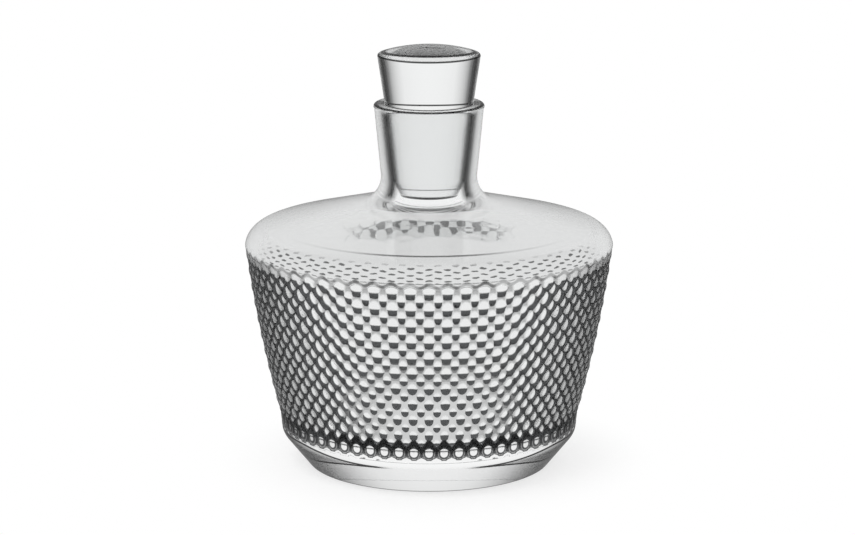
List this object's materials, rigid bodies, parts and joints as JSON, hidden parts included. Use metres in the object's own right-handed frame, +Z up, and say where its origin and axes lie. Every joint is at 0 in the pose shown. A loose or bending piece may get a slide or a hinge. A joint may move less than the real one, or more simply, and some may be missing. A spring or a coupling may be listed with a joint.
{
  "type": "decanter",
  "caption": "Heavy clear glass decanter: flared base, conical wall covered in diamond-set beads, smooth shoulder, tapered neck, and a solid glass stopper that lifts out.",
  "frame": {"origin": "centre of the foot, on the table", "axes": "+Z up along the axis of the decanter and the stopper; the wall is the same all round, so +X and +Y are free"},
  "size_m": [0.1542, 0.1542, 0.1768],
  "materials": {
    "body_glass": "clear pressed glass, fire polished",
    "stopper_glass": "clear solid glass, polished"
  },
  "bodies": {
    "decanter": {"decanter_body": "body_glass"},
    "stopper": {"stopper": "stopper_glass"}
  },
  "joints": [
    {"name": "stopper_lift", "type": "slide", "parent": "decanter", "child": "stopper", "axis": [0, 0, 1], "range_m": [0, 0.06]}
  ]
}
